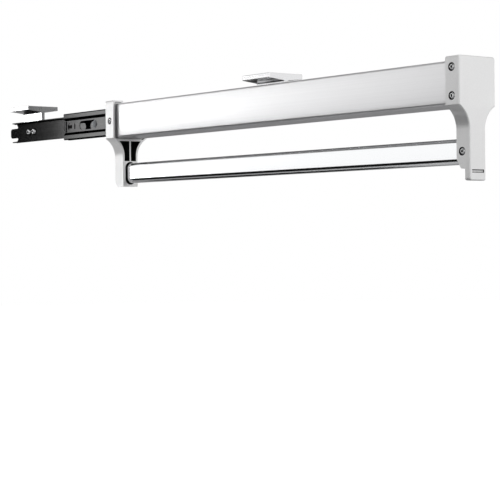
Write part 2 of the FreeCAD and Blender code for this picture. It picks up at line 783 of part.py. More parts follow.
def make_rear_cap():
    """Shell over the housing's rear end, open along the top and round the slide."""
    cap = cap_solid(rear_face_x, housing_rear_x, 0, foot_z, 0)
    bevel_x = rear_face_x + cap_face_bevel
    side = [
        (rear_face_x, cap_top - cap_face_bevel), (bevel_x, cap_top), (housing_rear_x, cap_top),
        (housing_rear_x, foot_z), (rear_face_x, foot_z),
    ]
    points = [Vec(x, -cap_half_width, z) for x, z in side]
    cap = cap.common(prism(points, [0, 0, 0, 0, rear_foot_corner], ACROSS * (2 * cap_half_width)))
    inner_half_width = cap_half_width - cap_face_bevel
    plan = [
        (rear_face_x, -inner_half_width), (bevel_x, -cap_half_width), (housing_rear_x, -cap_half_width),
        (housing_rear_x, cap_half_width), (bevel_x, cap_half_width), (rear_face_x, inner_half_width),
    ]
    points = [Vec(x, y, foot_z) for x, y in plan]
    cap = cap.common(prism(points, [0] * len(points), UP * (cap_top - foot_z)))
    cap = cap.cut(cap_hollows(housing_rear_x, rear_face_x + rear_wall, housing_rear_x))
    span = (rear_face_x - cut_overrun, housing_rear_x + cut_overrun)
    slot_low = axis_z + intermediate_half + passage_margin
    slot_y = (web_y - rear_slot_width / 2, web_y + rear_slot_width / 2)
    cap = cap.cut(box(span, slot_y, (slot_low, cap_top + cut_overrun)))
    passage_near = member_back_y - plateau_d - intermediate_sheet / 2 - passage_margin
    passage_far = member_back_y + web_thickness + passage_margin
    passage_half = intermediate_half + passage_margin
    points = [Vec(span[0], y, z) for y, z in (
        (passage_near, axis_z - passage_half), (passage_far, axis_z - passage_half),
        (passage_far, axis_z + passage_half), (passage_near, axis_z + passage_half),
    )]
    passage = prism(points, [wide_bend_radius] * len(points), ALONG * (rear_wall + 2 * cut_overrun))
    cap = cap.cut(passage)
    places = [item for item in cap_screw_places() if item[0].x < 0]
    return screw_holes(cap, places, cap_half_width).removeSplitter()


def make_front_cap():
    """Shell over the housing's front end, with a closed face, a neck and a finger lip."""
    cap = cap_solid(housing_front_x, front_face_x, 0, lip_z, lip_corner)
    neck_x = housing_front_x + neck_setback
    lip_x = front_face_x - lip_thickness
    shoulder_z = head_bottom - flare_fall
    side = [
        (housing_front_x, cap_top), (front_face_x, cap_top), (front_face_x, lip_z), (lip_x, lip_z),
        (lip_x, foot_z), (neck_x + chin_run, foot_z), (neck_x, foot_z + chin_rise),
        (neck_x, shoulder_z), (housing_front_x, head_bottom),
    ]
    bends = [0, 0, 0, lip_back_round, side_round, lip_back_round, lip_back_round, side_round, 0]
    points = [Vec(x, -cap_half_width, z) for x, z in side]
    cap = cap.common(prism(points, bends, ACROSS * (2 * cap_half_width)))
    face_edges = [edge for edge in cap.Edges
                  if abs(edge.firstVertex().X - front_face_x) < thread_gap
                  and abs(edge.lastVertex().X - front_face_x) < thread_gap]
    cap = cap.makeChamfer(cap_face_bevel, face_edges)
    cap = cap.cut(cap_hollows(housing_front_x, front_face_x - front_wall, neck_x))
    groove_x = front_face_x + finger_groove_radius - finger_groove_depth
    groove_z = foot_z - finger_groove_drop
    start = Vec(groove_x, -finger_groove_length / 2, groove_z)
    cap = cap.cut(Part.makeCylinder(finger_groove_radius, finger_groove_length, start, ACROSS))
    places = [item for item in cap_screw_places() if item[0].x > 0]
    cap = screw_holes(cap, places, cap_half_width)
    cap = screw_holes(cap, rod_screw_places(), neck_width / 2)
    return cap.removeSplitter()


def make_hanging_rod():
    """Oval tube between the two caps' sockets, drilled for its screws."""
    start = rear_face_x + rear_wall + rod_end_gap
    length = front_face_x - front_wall - rod_end_gap - start
    rod = oval(start, 0, length).cut(oval(start, -rod_wall, length))
    for place, inward in rod_screw_places():
        rod = rod.cut(screw_hole(place, inward, neck_width / 2 - rod_wall))
    return rod


def make_cap_screws():
    """Screws that hold both caps to the housing."""
    return Part.makeCompound([
        pan_screw(place, inward, cap_screw_head, cap_screw_head_height, thread_diameter, cap_screw_length,
                  cap_screw_drive, cap_screw_drive_depth)
        for place, inward in cap_screw_places()
    ])


def make_rod_screws():
    """Screws that hold the rod's front end in the neck."""
    return Part.makeCompound([
        pan_screw(place, inward, cap_screw_head, cap_screw_head_height, thread_diameter, rod_screw_length,
                  cap_screw_drive, cap_screw_drive_depth)
        for place, inward in rod_screw_places()
    ])


def main():
    """Build every node and write it."""
    save("rear_bracket", make_bracket(bracket_centres[0]))
    save("front_bracket", make_bracket(bracket_centres[1]))
    save("inner_member", make_inner_member())
    save("bracket_screws", make_bracket_screws())
    save("inner_end_stop", make_inner_end_stop())
    save("intermediate_member", make_intermediate_member())
    save("intermediate_bumper", make_intermediate_bumper())
    save("intermediate_stop", make_intermediate_stop())

    inner_balls = ball_centres(inner_cage_rear_x, inner_ball_d, inner_ball_h)
    outer_balls = ball_centres(outer_cage_rear_x, outer_ball_d, outer_ball_h)
    groove_inside = outer_ball_h - outer_ball_diameter / 2 - race_clearance - intermediate_sheet
    inner_cage_h = (inner_half + groove_inside) / 2
    inner_cage_turn = (inner_tip_d + plateau_d - intermediate_sheet / 2) / 2
    set_in = centre_web_d - intermediate_sheet / 2 - end_stop_gap - cage_sheet / 2
    step_h = centre_edge_h + step_rise
    inner_cage_path = [(inner_cage_turn, step_h), (set_in, step_h - step_depth)]
    save("inner_ball_cage", make_cage(
        inner_cage_rear_x, inner_ball_d - inner_ball_diameter / 2 - cage_side_margin, inner_cage_turn,
        inner_cage_h, inner_cage_path, inner_balls, inner_ball_diameter / 2,
    ))
    save("inner_balls", make_balls(inner_balls, inner_ball_diameter))
    outer_cage_h = (intermediate_half + outer_inside) / 2
    outer_cage_turn = plateau_d + intermediate_sheet / 2 + member_web_gap / 2
    save("outer_ball_cage", make_cage(
        outer_cage_rear_x, outer_ball_d - outer_ball_diameter / 2 - cage_side_margin, outer_cage_turn,
        outer_cage_h, [], outer_balls, outer_ball_diameter / 2,
    ))
    save("outer_balls", make_balls(outer_balls, outer_ball_diameter))

    save("outer_member", make_outer_member())
    save("outer_member_screws", make_outer_member_screws())
    save("closing_buffer", make_closing_buffer())
    save("housing", make_housing())
    save("rear_cap", make_rear_cap())
    save("front_cap", make_front_cap())
    save("hanging_rod", make_hanging_rod())
    save("cap_screws", make_cap_screws())
    save("rod_screws", make_rod_screws())


main()
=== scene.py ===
import math

import bmesh
import bpy
import numpy as np
from bpy.props import FloatProperty, FloatVectorProperty, IntProperty, PointerProperty
from mathutils import Matrix, Vector
from mathutils.bvhtree import BVHTree


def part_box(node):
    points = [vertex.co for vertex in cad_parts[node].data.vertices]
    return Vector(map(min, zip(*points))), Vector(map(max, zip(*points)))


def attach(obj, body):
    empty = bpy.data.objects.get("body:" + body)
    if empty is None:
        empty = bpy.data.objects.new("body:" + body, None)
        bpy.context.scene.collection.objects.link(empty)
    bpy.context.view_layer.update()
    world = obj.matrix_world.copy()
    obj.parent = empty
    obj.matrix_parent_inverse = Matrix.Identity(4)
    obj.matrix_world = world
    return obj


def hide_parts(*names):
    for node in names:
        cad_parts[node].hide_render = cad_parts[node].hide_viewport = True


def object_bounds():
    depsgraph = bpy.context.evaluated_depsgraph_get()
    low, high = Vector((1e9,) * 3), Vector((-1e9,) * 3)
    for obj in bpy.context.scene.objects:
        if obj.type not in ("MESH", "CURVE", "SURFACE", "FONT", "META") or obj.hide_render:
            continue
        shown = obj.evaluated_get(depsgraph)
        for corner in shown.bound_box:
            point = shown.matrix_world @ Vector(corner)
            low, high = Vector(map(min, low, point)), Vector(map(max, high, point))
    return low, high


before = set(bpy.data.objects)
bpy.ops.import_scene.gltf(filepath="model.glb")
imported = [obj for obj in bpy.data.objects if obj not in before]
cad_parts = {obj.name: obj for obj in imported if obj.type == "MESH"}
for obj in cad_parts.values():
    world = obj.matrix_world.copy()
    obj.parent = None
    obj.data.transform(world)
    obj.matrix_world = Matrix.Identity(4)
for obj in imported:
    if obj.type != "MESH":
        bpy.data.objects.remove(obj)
CAD_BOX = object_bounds()

bl_info = {
    "name": "Telescopic closet rod",
    "version": (1, 0, 0),
    "blender": (4, 5, 0),
    "location": "View3D > Sidebar > Closet rod",
    "description": "Dresses the pull-out closet rod: aluminium, chrome, black slide and studio",
    "category": "Object",
}

MM = 0.001

# The photograph's camera, fitted on the housing, the brackets and the front cap.
PHOTO_SIZE_PX = 500
PHOTO_FOCAL_PX = 1564.22
SENSOR_MM = 36.0
CAMERA_PLACE_MM = (1547.03, -1045.99, -164.71)
CAMERA_AZIMUTH_DEG = 52.0
CAMERA_ELEVATION_DEG = 0.72
CAMERA_ROLL_DEG = -0.65

# Crown of a button headed screw: place along the head's height and share of the head's radius.
CROWN_SHARES = (
    (0.0, 0.97), (0.06, 1.0), (0.25, 1.0), (0.5, 0.93), (0.72, 0.84), (0.88, 0.72), (1.0, 0.58))

# Shares of that screw: the head's height of its width, the shank and the socket of the head's
# radius, and the socket's depth of the head's height.
HEAD_HEIGHT_SHARE = 0.26
SHANK_SHARE = 0.6
SOCKET_SHARE = 0.4
SOCKET_DEPTH_SHARE = 1.4

# The socket's chamfered mouth: its width by the socket's, and where it ends on the head's height.
SOCKET_MOUTH_SHARE = 1.12
SOCKET_MOUTH_PLACE = 0.96

# What gets the painted socket shade: nearer the axis than this share of the socket's radius, and
# nearer the screw's middle than this share of its half length, which leaves out the tip.
SOCKET_RIM_SHARE = 1.05
TIP_SHARE = 0.98

# Half width of a packed ball's box as a share of the ball's radius. Its facets cut the box short.
BALL_BOX_SHARE = 0.917

# How far the housing's walls bow out, in metres.
HOUSING_BOW = 0.7 * MM

# How much the rod's sides draw in towards its top and bottom.
ROD_CROWN = 0.08

# How many times longer a die line of drawn metal is than it is wide.
LINE_STRETCH = 300

# Welding distances of packed and of made meshes, in metres, and angles between faces in degrees:
# below which packed faces are one, above which an edge is broken, and above which it stays crisp.
PACKED_WELD = 0.002 * MM
MADE_WELD = 0.0005 * MM
SAME_FACE_DEG = 0.3
BROKEN_EDGE_DEG = 35
CRISP_EDGE_DEG = 40

# Test that tells a casting's cored pockets from its outside, by rays round a face's normal.
# Lengths are in metres.
CORE_RAYS = 12
CORE_RAY_SLOPE = 1.2
CORE_LIFT = 0.05 * MM
CORE_REACH = 14 * MM
WALL_REACH = 45 * MM
RIM_DEPTH = 1 * MM

# How much a face looks towards the casting's open side, or away from it when below nought.
FACES_OPEN = 0.9
FACES_AWAY = -0.1

# Share of the rays that have to be stopped near by: over a floor, a screw's seat and a groove.
FLOOR_SHARE = 0.3
SEAT_SHARE = 0.8
GROOVE_SHARE = 0.2

# The floor's grid: steps round it, and its rings as shares of its radius.
FLOOR_STEPS = 96
FLOOR_RINGS = (0.0, 0.15, 0.4, 1.0)

# The floor's paper, by the distance from the object's origin in metres: between the first two a
# painted pool of light below the object fades into the plain paper, which is lighter by its share
# at the middle. Between the other two the white that the camera sees on the paper grows from its
# first strength to its second.
PAINTED_POOL_EDGE = (0.7, 1.3)
PAINTED_POOL_SHARE = 1.2
WHITE_EDGE = (0.6, 3.0)
WHITE_STRENGTHS = (0.72, 1.0)

# The room's walls as metal mirrors them. A zone is four bearings in degrees, from the rear end of
# the rod towards the photographer's side: where it starts, is full from, is full to, and ends.
# The curtain hangs above the walls. Its edges are heights of the direction, from 0 level to 1 up.
FAR_END = (-62, -48, -17, -8)
NEAR_END = (-168, -160, -147.5, -145.5)
SIDE_WALL = (50.5, 53, 95, 115)
CURTAIN_FROM = (0.45, 0.6)
WALLS_TO = (0.66, 0.78)

# Black cloths of the studio, in metres: two corners, whether it shades the object, and whether the
# metal mirrors it. The ones on the floor draw the black line along the lower side of the rod and of
# the housing. The one beyond the rear end turns the slide's end black. The one below the handle
# keeps the room's light off the front cap's lower side.
FLAGS = (
    ("floor_flag", (-6.5, -6.0, -0.898), (-0.5, -0.55, -0.898), False, True),
    ("small_floor_flag", (-1.15, -0.15, -0.898), (-0.4, 0.6, -0.898), False, True),
    ("end_flag", (-0.63, -0.11, -0.12), (-0.63, 0.03, 0.0), True, True),
    ("low_flag", (0.1, -0.6, -0.22), (0.75, -0.03, -0.22), True, False),
)


def linear(code):
    """Linear colour of an sRGB hex value."""
    parts = np.array([int(code[i:i + 2], 16) for i in (1, 3, 5)]) / 255
    curve = np.where(parts <= 0.04045, parts / 12.92, ((parts + 0.055) / 1.055) ** 2.4)
    return tuple(float(value) for value in curve)


class RodFinish(bpy.types.PropertyGroup):
    """Colours of the finishes."""

    extrusion: FloatVectorProperty(
        name="Housing", description="Satin anodised aluminium of the housing", subtype="COLOR",
        size=3, min=0, max=1, default=linear("#ECECED"))
    bracket: FloatVectorProperty(
        name="Brackets", description="Bright drawn aluminium of the shelf brackets",
        subtype="COLOR", size=3, min=0, max=1, default=linear("#E9E9EA"))
    casting: FloatVectorProperty(
        name="Caps", description="Silver lacquer on the cast end caps", subtype="COLOR",
        size=3, min=0, max=1, default=linear("#E8E8E8"))
    # Painted shade: the dark colour of the shade in the caps' pockets, bores, seats and groove, and
    # in the screws' sockets.
    core: FloatVectorProperty(
        name="Cores", description="Dull die skin inside the caps", subtype="COLOR",
        size=3, min=0, max=1, default=linear("#2A2B2D"))
    chrome: FloatVectorProperty(
        name="Rod", description="Chrome plating of the hanging rod", subtype="COLOR",
        size=3, min=0, max=1, default=linear("#FAFBFC"))
    slide: FloatVectorProperty(
        name="Slide", description="Black chromate of the slide members", subtype="COLOR",
        size=3, min=0, max=1, default=linear("#3B3B3B"))
    inner_slide: FloatVectorProperty(
        name="Inner member", description="Black chromate of the inner member", subtype="COLOR",
        size=3, min=0, max=1, default=linear("#3C3C3C"))
    fastener: FloatVectorProperty(
        name="Screws", description="Bright zinc of the screws", subtype="COLOR",
        size=3, min=0, max=1, default=linear("#EBECED"))
    cage: FloatVectorProperty(
        name="Cages", description="Zinc plated strip of the ball cages", subtype="COLOR",
        size=3, min=0, max=1, default=linear("#A9ACB0"))
    ball: FloatVectorProperty(
        name="Balls", description="Polished bearing steel", subtype="COLOR",
        size=3, min=0, max=1, default=linear("#D9DBDE"))
    buffer: FloatVectorProperty(
        name="Buffers", description="Black moulded buffers", subtype="COLOR",
        size=3, min=0, max=1, default=linear("#101011"))
    stop: FloatVectorProperty(
        name="Stop", description="Grey moulded stop in the slide's window", subtype="COLOR",
        size=3, min=0, max=1, default=linear("#8C8E91"))


class RodDetail(bpy.types.PropertyGroup):
    """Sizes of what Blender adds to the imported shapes."""

    edge_round: FloatProperty(
        name="Edge round", description="Broken edge of the metal pieces", subtype="DISTANCE",
        unit="LENGTH", min=0, default=0.3 * MM)
    turned_steps: IntProperty(
        name="Turned steps", description="Steps round a screw or stop", min=12, max=96, default=48)
    ball_steps: IntProperty(
        name="Ball steps", description="Steps round a ball", min=8, max=48, default=20)
    rod_steps: IntProperty(
        name="Rod steps", description="Steps round each end of the rod's oval",
        min=8, max=96, default=40)
    rod_wall: FloatProperty(
        name="Rod wall", description="Wall of the rod's tube", subtype="DISTANCE",
        unit="LENGTH", min=0.4 * MM, default=1.2 * MM)


class RodStage(bpy.types.PropertyGroup):
    """Sizes and strengths of the studio."""

    floor_drop: FloatProperty(
        name="Floor drop", description="Floor below the shelf's underside", subtype="DISTANCE",
        unit="LENGTH", default=0.9)
    floor_radius: FloatProperty(
        name="Floor radius", description="Radius of the round floor", subtype="DISTANCE",
        unit="LENGTH", default=14.0)
    floor_colour: FloatVectorProperty(
        name="Floor", description="Paper on the studio's floor", subtype="COLOR",
        size=3, min=0, max=1, default=linear("#9A9A9B"))
    key_power: FloatProperty(name="Key", description="Side softbox", unit="POWER", default=13.5)
    top_power: FloatProperty(name="Top", description="Overhead softbox", unit="POWER", default=5.0)
    front_power: FloatProperty(
        name="Front", description="Softbox before the handle", unit="POWER", default=16.0)
    fill_power: FloatProperty(
        name="Fill", description="Low fill at the rear end", unit="POWER", default=6.0)
    room: FloatProperty(name="Room", description="Strength of the room's even light", default=0.7)
    dark_end: FloatProperty(
        name="Dark end", description="How bright the room's dark end looks in metal", min=0, max=1,
        default=0.04)
    curtain: FloatProperty(
        name="Curtain", description="How bright the curtain above the walls looks in metal",
        min=0, max=1, default=0.1)
    dim_side: FloatProperty(
        name="Dim side", description="How bright the room's dim side looks in metal", min=0, max=1,
        default=0.22)


def add(tree, kind, settings=None, inputs=None):
    """Add a node with its settings, and its inputs as values or as other nodes' sockets."""
    made = tree.nodes.new(kind)
    for name, value in (settings or {}).items():
        setattr(made, name, value)
    for name, value in (inputs or {}).items():
        socket = made.inputs[name]
        if isinstance(value, bpy.types.NodeSocket):
            tree.links.new(value, socket)
        else:
            socket.default_value = value
    return made


def start_material(name):
    """Empty material with its tree and a socket of the piece's own coordinates."""
    material = bpy.data.materials.new(name)
    material.use_nodes = True
    tree = material.node_tree
    tree.nodes.clear()
    place = add(tree, "ShaderNodeTexCoord")
    return material, tree, place.outputs["Object"]


def close_material(material, tree, shader):
    """Join the shader to the material's output."""
    add(tree, "ShaderNodeOutputMaterial", inputs={"Surface": shader.outputs[0]})
    return material


def ranged(tree, value, low, high, start=0.0, end=1.0):
    """Straight ramp from low at the start to high at the end."""
    node = add(tree, "ShaderNodeMapRange", inputs={
        "Value": value, "From Min": start, "From Max": end, "To Min": low, "To Max": high})
    return node.outputs["Result"]


def eased(tree, value, start, end, low=0.0, high=1.0):
    """Smooth step from low at the start to high at the end."""
    node = add(tree, "ShaderNodeMapRange", {"interpolation_type": "SMOOTHSTEP"}, {
        "Value": value, "From Min": start, "From Max": end, "To Min": low, "To Max": high})
    return node.outputs["Result"]


def maths(tree, operation, first, second):
    """Result of a Math node."""
    return add(tree, "ShaderNodeMath", {"operation": operation}, {0: first, 1: second}).outputs[0]


def noise(tree, place, per_metre, detail, roughness=0.5):
    """Soft grey pattern with so many grains to the metre."""
    node = add(tree, "ShaderNodeTexNoise", inputs={
        "Vector": place, "Scale": per_metre, "Detail": detail, "Roughness": roughness})
    return node.outputs["Fac"]


def streaks(tree, place, length, width, detail, roughness):
    """Pattern of streaks along X, of a length and width in metres."""
    scale = (1 / length, 1 / width, 1 / width)
    drawn_out = add(tree, "ShaderNodeMapping", inputs={"Vector": place, "Scale": scale})
    return noise(tree, drawn_out.outputs[0], 1.0, detail, roughness)


def shaded(tree, colour, value, low, high):
    """Colour that a pattern scales between two shares of itself."""
    return add(tree, "ShaderNodeVectorMath", {"operation": "SCALE"}, {
        0: colour, "Scale": ranged(tree, value, low, high)}).outputs[0]


def raised(tree, height, strength, depth, normal=None):
    """Normal of a face that a pattern raises by a depth in metres."""
    inputs = {"Height": height, "Strength": strength, "Distance": depth}
    if normal is not None:
        inputs["Normal"] = normal
    return add(tree, "ShaderNodeBump", inputs=inputs).outputs[0]


def close_solid(material, tree, colour, roughness, others):
    """Finish a material of a solid piece with its one shader."""
    return close_material(material, tree, add(tree, "ShaderNodeBsdfPrincipled", inputs={
        "Base Color": colour, "Roughness": roughness, **others}))


def drawn_metal(name, colour, line_width_mm, roughness_low, roughness_high, crown=None):
    """Extruded metal: fine die lines run along X, so its glints stretch across the lines. A crown
    is the middle height and the half height of a wall, and how far the wall bows out between."""
    material, tree, place = start_material(name)
    width = line_width_mm * MM
    lines = streaks(tree, place, LINE_STRETCH * width, width, 2.0, 0.55)
    cloud = noise(tree, place, 1 / (60 * MM), 3.0)
    both = add(tree, "ShaderNodeMix", inputs={"Factor": 0.4, "A": lines, "B": cloud})
    rough = ranged(tree, both.outputs["Result"], roughness_low, roughness_high)
    normal = raised(tree, lines, 0.25, 0.03 * MM)
    if crown:
        middle, half, bow = crown
        parts = add(tree, "ShaderNodeSeparateXYZ", inputs={"Vector": place})
        off = maths(tree, "SUBTRACT", parts.outputs["Z"], middle)
        fall = maths(tree, "MULTIPLY", maths(tree, "MULTIPLY", off, off), -bow / half ** 2)
        normal = raised(tree, fall, 1.0, 1.0, normal)
    return close_solid(material, tree, shaded(tree, colour, lines, 0.94, 1.03), rough, {
        "Metallic": 1.0, "Normal": normal})


def satin_anodised_aluminium(colour):
    """Housing: a milky oxide skin over die lines, bright but never a mirror, on walls that cool
    slightly crowned, so that the side shades from top to bottom."""
    low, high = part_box("housing")
    crown = ((low.z + high.z) / 2, (high.z - low.z) / 2, HOUSING_BOW)
    return drawn_metal("satin_anodised_aluminium", colour, 0.9, 0.32, 0.4, crown)


def bright_drawn_aluminium(colour):
    """Brackets: bare extrusion, a little sharper than the anodised housing."""
    return drawn_metal("bright_drawn_aluminium", colour, 0.7, 0.12, 0.2)


def silver_lacquered_zinc(colour):
    """Caps: die casting under silver lacquer, with the lacquer's faint orange peel and flakes."""
    material, tree, place = start_material("silver_lacquered_zinc")
    peel = noise(tree, place, 1 / (2.2 * MM), 1.5)
    flakes = add(tree, "ShaderNodeTexVoronoi", inputs={"Vector": place, "Scale": 1 / (0.7 * MM)})
    cloud = noise(tree, place, 1 / (25 * MM), 2.0)
    tint = shaded(tree, colour, flakes.outputs["Distance"], 0.97, 1.05)
    return close_solid(material, tree, tint, ranged(tree, cloud, 0.38, 0.48), {
        "Metallic": 0.55, "Normal": raised(tree, peel, 0.2, 0.04 * MM),
        "Coat Weight": 0.25, "Coat Roughness": 0.18})


def painted_shade_skin(colour):
    """Painted shade: a dark colour for the caps' cored pockets, bores, screw seats and groove, and
    the screws' sockets, where the shade falls.
    """
    material, tree, place = start_material("painted_shade_skin")
    skin = noise(tree, place, 1 / (3 * MM), 3.0, 0.6)
    tint = shaded(tree, colour, skin, 0.8, 1.15)
    return close_solid(material, tree, tint, ranged(tree, skin, 0.55, 0.7), {"Metallic": 0.4})


def chromed_steel(colour):
    """Rod: mirror chrome, with the faint lengthwise ripple of a rolled and polished tube."""
    material, tree, place = start_material("chromed_steel")
    ripple = streaks(tree, place, 180 * MM, 2.5 * MM, 1.0, 0.4)
    haze = noise(tree, place, 1 / (40 * MM), 4.0, 0.6)
    return close_solid(material, tree, (*colour, 1.0), ranged(tree, haze, 0.07, 0.15), {
        "Metallic": 1.0, "Normal": raised(tree, ripple, 0.1, 0.02 * MM)})


def plated_steel(name, colour, roughness_low, roughness_high, grain_mm):
    """Small steel pieces: plating with a soft grain of its own."""
    material, tree, place = start_material(name)
    grain = noise(tree, place, 1 / (grain_mm * MM), 3.0, 0.6)
    rough = ranged(tree, grain, roughness_low, roughness_high)
    return close_solid(material, tree, shaded(tree, colour, grain, 0.9, 1.05), rough, {
        "Metallic": 1.0})


def black_chromated_steel(name, colour):
    """Slide members: black chromate on zinc plated strip, a thin smoky film over metal. Faces that
    look at the light turn grey, and all the others stay black, also where they are seen edge on."""
    material, tree, place = start_material(name)
    film = noise(tree, place, 1 / (1.1 * MM), 3.0, 0.6)
    tracks = streaks(tree, place, 90 * MM, 1.5 * MM, 2.0, 0.5)
    tint = shaded(tree, colour, film, 0.8, 1.25)
    return close_solid(material, tree, tint, ranged(tree, tracks, 0.05, 0.11), {
        "Metallic": 1.0, "Normal": raised(tree, film, 0.2, 0.02 * MM),
        "Specular Tint": (0.0, 0.0, 0.0, 1.0)})


def moulded_plastic(name, colour, roughness_low, roughness_high):
    """Buffers and stop: acetal with the mould's spark texture, which scatters its shine."""
    material, tree, place = start_material(name)
    spark = noise(tree, place, 1 / (0.5 * MM), 3.0, 0.7)
    rough = ranged(tree, spark, roughness_low, roughness_high)
    return close_solid(material, tree, shaded(tree, colour, spark, 0.92, 1.06), rough, {
        "Normal": raised(tree, spark, 0.3, 0.03 * MM)})


def finish_of(make, *given):
    """The material that a function makes, made once and then shared. It has the function's name,
    or the first value given where the function makes several."""
    several = (plated_steel, moulded_plastic, black_chromated_steel)
    name = given[0] if make in several else make.__name__
    return bpy.data.materials.get(name) or make(*given)


def put_on(node, material):
    """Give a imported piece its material."""
    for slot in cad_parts[node].material_slots:
        slot.material = material


def new_piece(name, mesh, material, body, slot, *nodes):
    """Object for a new mesh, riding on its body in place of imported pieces."""
    piece = bpy.data.objects.new(name, mesh)
    bpy.context.scene.collection.objects.link(piece)
    mesh.materials.clear()
    mesh.materials.append(material)
    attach(piece, body)
    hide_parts(*nodes)
    return piece


def merged_copy(node):
    """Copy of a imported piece's triangles, merged and with its flat faces joined."""
    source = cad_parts[node].data
    work = bmesh.new()
    work.from_mesh(source)
    bmesh.ops.remove_doubles(work, verts=work.verts, dist=PACKED_WELD)
    bmesh.ops.dissolve_limit(
        work, angle_limit=math.radians(SAME_FACE_DEG), verts=work.verts, edges=work.edges)
    mesh = bpy.data.meshes.new(node + "_dressed")
    work.to_mesh(mesh)
    work.free()
    if "custom_normal" in mesh.attributes:
        mesh.attributes.remove(mesh.attributes["custom_normal"])
    return mesh


def edged_piece(node, name, material, body, slot, width):
    """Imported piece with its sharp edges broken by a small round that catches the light."""
    mesh = merged_copy(node)
    mesh.shade_smooth()
    piece = new_piece(name, mesh, material, body, slot, node)
    bevel = piece.modifiers.new("Broken edges", "BEVEL")
    bevel.width = width
    bevel.segments = 2
    bevel.limit_method = "ANGLE"
    bevel.angle_limit = math.radians(BROKEN_EDGE_DEG)
    bevel.use_clamp_overlap = True
    bevel.harden_normals = True
    bevel.miter_outer = "MITER_ARC"
    return piece


def hidden_share(tree, centre, normal):
    """Share of the directions round a face's normal that meet a piece near by."""
    side = normal.orthogonal().normalized()
    met = 0
    for i in range(CORE_RAYS):
        turn = Matrix.Rotation(2 * math.pi * i / CORE_RAYS, 3, normal)
        way = (normal + turn @ side * CORE_RAY_SLOPE).normalized()
        met += tree.ray_cast(centre + normal * CORE_LIFT, way, CORE_REACH)[0] is not None
    return met / CORE_RAYS


def joined_tree(meshes):
    """Search tree of the faces of several meshes."""
    places = []
    corners_of = []
    for source in meshes:
        shift = len(places)
        places.extend(vert.co for vert in source.vertices)
        corners_of.extend([shift + corner for corner in face.vertices] for face in source.polygons)
    return BVHTree.FromPolygons(places, corners_of)


def darken_cores(mesh, core, open_way, fillers):
    """Paint the shade that falls in the cored pockets and sunk bores of a casting with the dark
    material: walls that face another wall of the casting, floors that face its open side, seats
    that its screws hide, and the groove in the outer face."""
    own = joined_tree([mesh])
    filled = joined_tree([mesh] + [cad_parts[node].data for node in fillers])
    open_x = max(vert.co.x * open_way for vert in mesh.vertices)
    mesh.materials.append(core)
    for face in mesh.polygons:
        centre, normal = face.center, face.normal
        depth = open_x - centre.x * open_way
        faces_out = normal.x * open_way > FACES_OPEN
        if faces_out and depth < RIM_DEPTH:
            continue
        walled = own.ray_cast(centre + normal * CORE_LIFT, normal, WALL_REACH)[0] is not None
        share = hidden_share(filled, centre, normal)
        grooved = normal.x * open_way < FACES_AWAY and share > GROOVE_SHARE
        if walled or grooved or share > SEAT_SHARE or faces_out and share > FLOOR_SHARE:
            face.material_index = 1


def solids_of(node):
    """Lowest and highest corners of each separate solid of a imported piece."""
    work = bmesh.new()
    work.from_mesh(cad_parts[node].data)
    bmesh.ops.remove_doubles(work, verts=work.verts, dist=PACKED_WELD)
    left = set(work.verts)
    found = []
    while left:
        reached = [left.pop()]
        for vert in reached:
            near = {edge.other_vert(vert) for edge in vert.link_edges} & left
            left -= near
            reached.extend(near)
        places = np.array([vert.co for vert in reached])
        found.append((places.min(0), places.max(0)))
    work.free()
    return sorted(found, key=lambda corners: tuple(np.round(corners[0], 4)))


def grid_faces(rows, columns, copies):
    """Quads of grids that close round their columns, as one array for all the copies."""
    row, column = np.meshgrid(np.arange(rows - 1), np.arange(columns), indexing="ij")
    across = (column + 1) % columns
    quad = np.stack([
        row * columns + column, row * columns + across,
        (row + 1) * columns + across, (row + 1) * columns + column], axis=-1).reshape(-1, 4)
    shift = np.arange(copies)[:, None, None] * rows * columns
    return (quad[None] + shift).reshape(-1, 4)


def welded_mesh(name, points, quads):
    """Smooth mesh of grids of points, welded where they meet, with its faces turned out."""
    mesh = bpy.data.meshes.new(name)
    mesh.from_pydata(points.reshape(-1, 3).tolist(), [], quads.tolist())
    work = bmesh.new()
    work.from_mesh(mesh)
    bmesh.ops.remove_doubles(work, verts=work.verts, dist=MADE_WELD)
    bmesh.ops.recalc_face_normals(work, faces=work.faces)
    work.to_mesh(mesh)
    work.free()
    mesh.shade_smooth()
    return mesh


def turned_mesh(name, centres, outward, profiles, steps, hex_share=None):
    """Bodies turned about lines along Y. A point of profile row i and turn t lies at
    centre + outward * distance_i along Y, and radius_i * (cos t, sin t) in X and Z.
    Where a row is hexagonal its radius is divided by cos(t mod 60 degrees - 30 degrees)."""
    copies = len(centres)
    rows = profiles.shape[1]
    turn = np.linspace(0, 2 * math.pi, steps, endpoint=False)
    distance = profiles[:, :, 0]
    radius = profiles[:, :, 1]
    hexagon = 1 / np.cos(np.mod(turn, math.pi / 3) - math.pi / 6)
    share = np.zeros(rows) if hex_share is None else np.array(hex_share)
    grow = 1 + share[:, None] * (hexagon[None, :] - 1)
    reach = radius[:, :, None] * grow[None]
    points = np.empty((copies, rows, steps, 3))
    points[..., 0] = centres[:, 0, None, None] + reach * np.cos(turn)
    points[..., 1] = centres[:, 1, None, None] + (outward[:, None] * distance)[:, :, None]
    points[..., 2] = centres[:, 2, None, None] + reach * np.sin(turn)
    return welded_mesh(name, points, grid_faces(rows, steps, copies))


